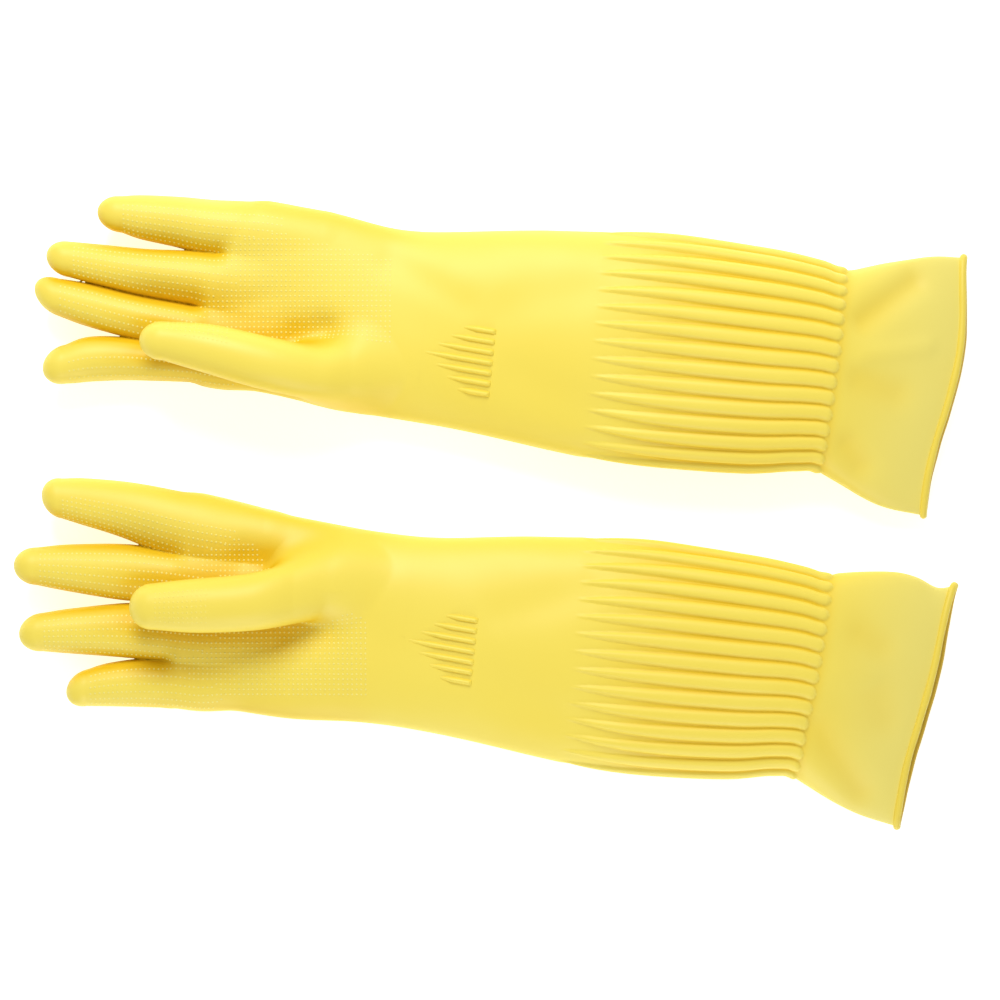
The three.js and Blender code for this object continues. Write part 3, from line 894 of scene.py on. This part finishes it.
def cut_hand(glove, planes):
    """The hand's skin with edges where its pieces meet: points, faces and the digit that owns each face."""
    points, quads = hand_net(glove)
    owners = glove.owners(points[quads].mean(axis=1))
    bm = bmesh.new()
    layer = bm.faces.layers.int.new("owner")
    verts = [bm.verts.new(p) for p in points]
    for quad, owner in zip(quads.tolist(), owners.tolist()):
        bm.faces.new([verts[i] for i in quad])[layer] = owner
    split_by(bm, layer, None, ARM_WAY * SEAM, ARM_WAY)
    split_by(bm, layer, None, ARM_WAY * WRIST_CUT, ARM_WAY)
    for number, (_, start, start_way, middle, middle_way) in planes.items():
        split_by(bm, layer, number, start, start_way)
        split_by(bm, layer, number, middle, middle_way)
    bm.verts.index_update()
    points = np.array([v.co for v in bm.verts])
    faces = [[v.index for v in f.verts] for f in bm.faces]
    owners = np.array([f[layer] for f in bm.faces])
    bm.free()
    return points, faces, owners


def make_hand(glove, material):
    planes = piece_planes(glove)
    points, faces, owners = cut_hand(glove, planes)
    normals = unit(gradient(glove.distance, points))
    # Painted shade: the colour deepens where other film is close, as if in its shade, fading out towards the
    # sleeve.
    off_sleeve = smoothstep(-(points @ ARM_WAY), -SEAM, -FOLD_FADE)
    hollow = fold_shade(glove.distance, points, normals) * off_sleeve
    centres = np.array([points[f].mean(axis=0) for f in faces])
    names = piece_of(centres, owners, planes)

    dots = [palm_dots(glove)] + [digit_dots(glove, name) for name in glove.digits]
    dot_points = np.vstack([p for p, n in dots])
    dot_normals = np.vstack([n for p, n in dots])
    dot_owners = glove.owners(dot_points)
    dot_names = piece_of(dot_points, dot_owners, planes)
    thumb = list(glove.digits).index("thumb") + 1
    strength = np.where(dot_owners == thumb, FAINT, 1.0)

    pieces = {}
    for name in sorted(set(names) - {"none"}):
        chosen = [faces[i] for i in np.flatnonzero(names == name)]
        used = np.unique([i for f in chosen for i in f])
        renumber = {old: new for new, old in enumerate(used.tolist())}
        chosen = [[renumber[i] for i in f] for f in chosen]
        skin = Skin()
        skin.add_film(points[used], chosen, normals[used], hollow=hollow[used])
        mine = dot_names == name
        add_dots(skin, dot_points[mine], dot_normals[mine], strength[mine])
        pieces[name] = skin.make(f"{glove.side}_{name}_film", glove, material)
    attach_hand(glove, pieces)


def attach_hand(glove, pieces):
    side = glove.side
    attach(pieces["hand"], f"{side}_hand_body")
    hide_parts(f"{side}_hand")
    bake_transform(pieces["wrist"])
    for name in glove.digits:
        (crease, tip_crease), half = digit_cuts(glove, name)
        bends = (
            (name, f"{side}_hand_body", f"{side}_{name}_body", crease),
            (f"{name}_tip", f"{side}_{name}_body", f"{side}_{name}_tip_body", tip_crease),
        )
        for label, body, next_body, (point, way) in bends:
            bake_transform(pieces[label])
            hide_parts(f"{side}_{label}")


# ---- Sleeve, cuff and rim

def rib_height(a, t, pitch):
    """Height of the ribs, pointed towards the wrist, and depth of the valleys. t is 0 at a rib's middle."""
    run = np.maximum(a - RIB_START, 0)
    half = RIB_POINT + RIB_WIDEN * (1 - np.exp(-run / RIB_WIDEN_RUN))
    rise = RIB_HEIGHT * (1 - np.exp(-run / RIB_RISE_RUN))
    end_round = np.maximum(0, a - (RIB_END - half * pitch)) / (half * pitch)
    q = np.sqrt((t / half) ** 2 + end_round**2)
    sunk = VALLEY * rise * (1 - smoothstep(a, RIB_END - 8 * MM, RIB_END + 5 * MM))
    return rise * (1 - np.minimum(q, 1) ** 2.4) ** 0.85 - sunk


def arm_grid(glove, along, columns):
    """Points of the sleeve and cuff on a grid, before the ribs are raised."""
    shape = (glove.arm_x, glove.arm_y, glove.arm_w, glove.arm_h)
    x, y, w, h = (np.interp(along, glove.arm_a, values) for values in shape)
    mouth_x = glove.data["arm"][-1][0]
    flare = smoothstep(x, TURN_STARTS, mouth_x)
    turn = SLEEVE_TURN + (glove.data["mouth_turn"] - SLEEVE_TURN) * flare
    lift = BEAD_RADIUS * flare**4
    near_mouth = smoothstep(along, MOUTH_STARTS, glove.arm_a[-1])
    upper = smooth_rows(glove.data["upper_edge"])
    line = smooth_rows(glove.data["mouth_line"])
    angle = np.linspace(0, 2 * math.pi, 1441)
    rows = []
    for i in range(len(along)):
        arc = np.hypot(np.gradient(w[i] * np.sin(angle)), np.gradient(h[i] * np.cos(angle)))
        arc = np.concatenate([[0], np.cumsum((arc[1:] + arc[:-1]) / 2)])
        phi = np.interp(columns * arc[-1], arc, angle)
        edge = np.interp(x[i], upper[:, 0], upper[:, 1])
        across = w[i] * np.sin(phi) + edge * np.maximum(0, np.sin(phi)) ** 3
        z = h[i] * np.cos(phi) + h[i] - SETTLE
        z = (z + np.sqrt(z**2 + FLATTEN**2)) / 2 + lift[i]
        drawn_back = glove.data["mouth_step"] * np.maximum(0, np.cos(phi))
        shift = np.interp(np.sin(phi), line[:, 0], line[:, 1]) - drawn_back
        forward = shift * near_mouth[i]
        c = math.cos(turn[i])
        s = math.sin(turn[i])
        rows.append(np.stack([x[i] + across * s + forward * c, y[i] + across * c - forward * s, z], axis=1))
    return np.array(rows)


def grid_normals(rows):
    along = np.gradient(rows, axis=0)
    around = (np.roll(rows, -1, axis=1) - np.roll(rows, 1, axis=1)) / 2
    n = unit(np.cross(around, along))
    outward = rows - rows.mean(axis=1, keepdims=True)
    return n * (1 if (n * outward).sum() > 0 else -1)


def arm_places(mouth):
    """How far along the arm the rings of points lie: closest together where the ribs end."""
    before = RIB_END - 9 * MM
    after = RIB_END + 3 * MM
    along = np.concatenate([
        [SEAM - LIP],
        np.arange(SEAM, before, SLEEVE_STEP),
        np.arange(before, after, RIB_END_STEP),
        np.arange(after, mouth - 1.5 * MM, CUFF_STEP),
        [mouth],
    ])
    return along[np.diff(along, prepend=-1) > 0.2 * MM]


def tuck_in(glove, rows, normals):
    """Puts the second ring on the wrist's surface, and the first under the edge of its film, as a lip."""
    for _ in range(4):
        slope = gradient(glove.arm_surface, rows[1])
        slope -= (slope @ ARM_WAY)[:, None] * ARM_WAY
        rows[1] -= (glove.arm_surface(rows[1]) / (slope**2).sum(axis=1))[:, None] * slope
    normals[1] = unit(gradient(glove.arm_surface, rows[1]))
    normals[0] = normals[1]
    rows[0] = rows[1] - LIP * ARM_WAY - 0.15 * MM * normals[1]


def arm_film(glove, along, count):
    """Rings of points of the ribbed sleeve and the cuff, their normals, and the painted shade: a deeper
    colour in the rib valleys and the cuff's dents.
    """
    base = arm_grid(glove, along, np.arange(count) / count)
    normals = grid_normals(base)
    flat = base.reshape(-1, 3)
    sunk = (glove.dents(flat) + glove.sway(flat)).reshape(base.shape[:2])
    mouth = along[-1]
    fade = 1 - smoothstep(along, mouth - 14 * MM, mouth)
    girth = np.linalg.norm(np.roll(base, -1, axis=1) - base, axis=2).sum(axis=1)
    t = (np.arange(count) % RIB_COLUMNS) / RIB_COLUMNS
    t = np.where(t > 0.5, t - 1, t)
    ribs = np.array([rib_height(a, t, pitch) for a, pitch in zip(along, girth / RIBS)])
    # Painted shade: a deeper colour in the rib valleys and where the cuff's film has sunk into dents.
    narrow = smoothstep(along, RIB_START + 5 * MM, RIB_START + 65 * MM)[:, None]
    valley_shade = np.clip(-ribs / (0.5 * RIB_HEIGHT), 0, 1) * narrow
    past_ribs = smoothstep(along, RIB_END - 2 * MM, RIB_END + 6 * MM)[:, None]
    dent_shade = DENT_SHADE * np.clip(sunk / MM, 0, 3) * past_ribs
    rows = base + (ribs - sunk * fade[:, None])[..., None] * normals
    rows[..., 2] = np.maximum(rows[..., 2], 0.1 * MM)
    normals = grid_normals(rows)
    tuck_in(glove, rows, normals)
    return rows, normals, valley_shade + dent_shade


def make_arm(glove, material, rim_material):
    side = glove.side
    count = RIBS * RIB_COLUMNS
    mouth = glove.arm_a[-1]
    along = arm_places(mouth)
    rows, normals, hollow = arm_film(glove, along, count)
    neck = int(np.searchsorted(along, NECK_CUT))
    for name, first, last in (("sleeve", 0, neck), ("cuff", neck, len(along) - 1)):
        part = slice(first, last + 1)
        points = rows[part].reshape(-1, 3)
        part_normals = normals[part].reshape(-1, 3)
        faces = facing_out(points, ring_faces(last + 1 - first, count), part_normals)
        thin = np.repeat(smoothstep(along[part], RIB_END - 12 * MM, mouth), count)
        skin = Skin()
        skin.add_film(points, faces, part_normals, thin=thin, hollow=hollow[part].ravel())
        if name == "sleeve":
            add_fan(skin, glove)
        piece = skin.make(f"{side}_{name}_film", glove, material)
        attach(piece, f"{side}_arm")
        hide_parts(f"{side}_{name}")
    make_bead(glove, rows[-1], rim_material)


def make_bead(glove, mouth, material):
    """The rolled rim: a round bead with the edge of the roll showing on its inner side."""
    side = glove.side
    ring = mouth[::2]
    count = len(ring)
    around = unit(np.roll(ring, -1, axis=0) - np.roll(ring, 1, axis=0))
    turn = glove.data["mouth_turn"]
    way = np.array([math.cos(turn), -math.sin(turn), 0])
    out = unit(np.cross(around, way))
    centre = ring.mean(axis=0)
    if ((ring - centre) * out).sum() < 0:
        out = -out
    forward = unit(np.cross(out, around))
    forward *= np.sign((forward @ way).sum())
    angle = 2 * math.pi * np.arange(BEAD_SIDES) / BEAD_SIDES
    place = 2 * math.pi * np.arange(count) / count
    swell = 1 + 0.04 * np.sin(5 * place + 1) + 0.03 * np.sin(13 * place)
    fold = 1 - 0.16 * np.exp(-(((angle - BEAD_FOLD) / 0.35) ** 2))
    radius = (BEAD_RADIUS - 0.1 * MM) * swell[:, None] * fold[None, :]
    spoke = np.cos(angle)[:, None] * forward[:, None] + np.sin(angle)[:, None] * out[:, None]
    points = ring[:, None] + radius[..., None] * spoke
    lengthwise = np.roll(points, -1, axis=0) - np.roll(points, 1, axis=0)
    crosswise = np.roll(points, -1, axis=1) - np.roll(points, 1, axis=1)
    normals = unit(np.cross(crosswise, lengthwise))
    if (normals * spoke).sum() < 0:
        normals = -normals
    points = points.reshape(-1, 3)
    normals = normals.reshape(-1, 3)
    faces = facing_out(points, ring_faces(count, BEAD_SIDES, closed=True), normals)
    # Painted shade: the bead of the lower layer, in the shade of the upper one, gets the rim's darker colour.
    low_side = smoothstep(centre[2] - ring[:, 2], 0, 4 * MM)
    skin = Skin()
    skin.add(points, faces, normals, thin=np.repeat(low_side, BEAD_SIDES))
    piece = skin.make(f"{side}_rolled_rim", glove, material)
    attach(piece, f"{side}_arm")
    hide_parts(f"{side}_rim_bead")


# ---- Materials

class Nodes:
    """A material and short ways to add to its nodes."""

    def __init__(self, name):
        self.material = bpy.data.materials.new(name)
        self.material.use_nodes = True
        self.tree = self.material.node_tree
        self.shader = self.tree.nodes["Principled BSDF"]

    def add(self, kind, **values):
        node = self.tree.nodes.new(kind)
        for key, value in values.items():
            if hasattr(node, key):
                setattr(node, key, value)
            else:
                node.inputs[key.replace("_", " ")].default_value = value
        return node

    def link(self, source, target):
        self.tree.links.new(source, target)

    def mix(self, factor, a, b):
        """Colour a where the factor is 0 and b where it is 1. Each may be a value or a node's output."""
        node = self.tree.nodes.new("ShaderNodeMix")
        node.data_type = "RGBA"
        for socket, value in ((node.inputs[0], factor), (node.inputs[6], a), (node.inputs[7], b)):
            if isinstance(value, bpy.types.NodeSocket):
                self.link(value, socket)
            else:
                socket.default_value = value
        return node.outputs[2]

    def scaled(self, value, low, high):
        """Noise, which mostly lies between 0.3 and 0.7, stretched to another range."""
        node = self.tree.nodes.new("ShaderNodeMapRange")
        node.inputs["From Min"].default_value = 0.3
        node.inputs["From Max"].default_value = 0.7
        node.inputs["To Min"].default_value = low
        node.inputs["To Max"].default_value = high
        self.link(value, node.inputs["Value"])
        return node.outputs["Result"]


def rubber(name, colour, deep, thin_and_shade_colour, top, fold):
    """Dipped natural rubber: satin and slightly cloudy, another tone where thin, painted shade in its folds
    and on the lower side of the rim's bead, and a painted highlight on the grip dots.
    """
    n = Nodes(name)
    where = n.add("ShaderNodeTexCoord").outputs["Object"]
    clouds = n.add("ShaderNodeTexNoise", Scale=14.0, Detail=3.0, Roughness=0.5)
    grain = n.add("ShaderNodeTexNoise", Scale=900.0, Detail=2.0, Roughness=0.6)
    for node in (clouds, grain):
        n.link(where, node.inputs["Vector"])
    cloudy = n.mix(n.scaled(clouds.outputs["Fac"], 0, 0.5), colour, deep)
    # Paler where the cuff's film is thin; on the rim, painted shade on the lower layer's bead.
    thin = n.add("ShaderNodeAttribute", attribute_name="thin")
    thin_and_shade_mix = n.mix(thin.outputs["Fac"], cloudy, thin_and_shade_colour)
    # Painted highlight on the grip dots.
    raised = n.add("ShaderNodeAttribute", attribute_name="raised")
    dotted = n.mix(raised.outputs["Fac"], thin_and_shade_mix, top)
    # Painted shade in folds, rib valleys, the cuff's dents and at the foot of the fan's ridges.
    hollow = n.add("ShaderNodeAttribute", attribute_name="hollow")
    base = n.mix(hollow.outputs["Fac"], dotted, fold)
    n.link(base, n.shader.inputs["Base Color"])
    n.link(n.scaled(clouds.outputs["Fac"], 0.42, 0.52), n.shader.inputs["Roughness"])
    n.shader.inputs["Specular IOR Level"].default_value = 0.45
    bump = n.add("ShaderNodeBump", Strength=0.12, Distance=0.15 * MM)
    n.link(grain.outputs["Fac"], bump.inputs["Height"])
    n.link(bump.outputs["Normal"], n.shader.inputs["Normal"])
    return n.material


def floor_material():
    n = Nodes("table_top")
    where = n.add("ShaderNodeTexCoord").outputs["Object"]
    noise = n.add("ShaderNodeTexNoise", Scale=3.0, Detail=2.0)
    n.link(where, noise.inputs["Vector"])
    shade = n.mix(n.scaled(noise.outputs["Fac"], 0, 1), (0.84, 0.88, 0.98, 1), (0.86, 0.9, 0.99, 1))
    n.link(shade, n.shader.inputs["Base Color"])
    n.shader.inputs["Roughness"].default_value = 0.9
    n.shader.inputs["Specular IOR Level"].default_value = 0.1
    n.shader.inputs["Emission Color"].default_value = (0.94, 0.97, 1, 1)
    n.shader.inputs["Emission Strength"].default_value = 0.6
    return n.material


# ---- Camera, light and table

def make_camera():
    """Straight above the pair, far enough away to show it flat."""
    data = bpy.data.cameras.new("camera")
    data.lens = 100
    data.sensor_width = 36
    camera = bpy.data.objects.new("camera", data)
    camera.location = (0.0045, 0.006, 1.345)
    bpy.context.scene.collection.objects.link(camera)
    bpy.context.scene.camera = camera


def make_light(name, place, size, power):
    """A soft round light that looks at the middle of the pair."""
    data = bpy.data.lights.new(name, "AREA")
    data.shape = "DISK"
    data.size = size
    data.energy = power
    light = bpy.data.objects.new(name, data)
    light.location = place
    light.rotation_euler = (-Vector(place)).to_track_quat("-Z", "Y").to_euler()
    bpy.context.scene.collection.objects.link(light)


def make_studio():
    world = bpy.data.worlds.new("studio")
    bpy.context.scene.world = world
    world.use_nodes = True
    background = world.node_tree.nodes["Background"]
    background.inputs["Color"].default_value = (1, 0.965, 0.84, 1)
    background.inputs["Strength"].default_value = 0.5
    make_light("key", place=(-0.15, 0.98, 1.02), size=0.65, power=12.2)
    make_light("fill", place=(0.1, -1.3, 0.45), size=0.9, power=6.5)
    bpy.ops.mesh.primitive_plane_add(size=8, location=(0, 0, 0))
    table = bpy.context.object
    table.name = "table"
    table.data.materials.append(floor_material())
    bpy.context.scene.view_settings.view_transform = "Standard"


make_camera()
make_studio()
# The film's fourth colour is the painted highlight of the grip dots, the fifth the painted shade in folds,
# valleys and dents.
film_rubber = rubber(
    "glove_rubber",
    colour=(0.95, 0.785, 0.12, 1),
    deep=(0.94, 0.745, 0.085, 1),
    thin_and_shade_colour=(0.88, 0.77, 0.19, 1),
    top=(0.96, 0.84, 0.23, 1),
    fold=(0.86, 0.58, 0.012, 1),
)
# The rim's third colour, a dark amber, is painted shade for the lower layer's bead.
rim_rubber = rubber(
    "rim_rubber",
    colour=(0.87, 0.7, 0.1, 1),
    deep=(0.84, 0.65, 0.07, 1),
    thin_and_shade_colour=(0.72, 0.48, 0.035, 1),
    top=(0.85, 0.64, 0.07, 1),
    fold=(0.66, 0.43, 0.03, 1),
)
for glove_side in GLOVES:
    one = Glove(glove_side)
    make_hand(one, film_rubber)
    make_arm(one, film_rubber, rim_rubber)
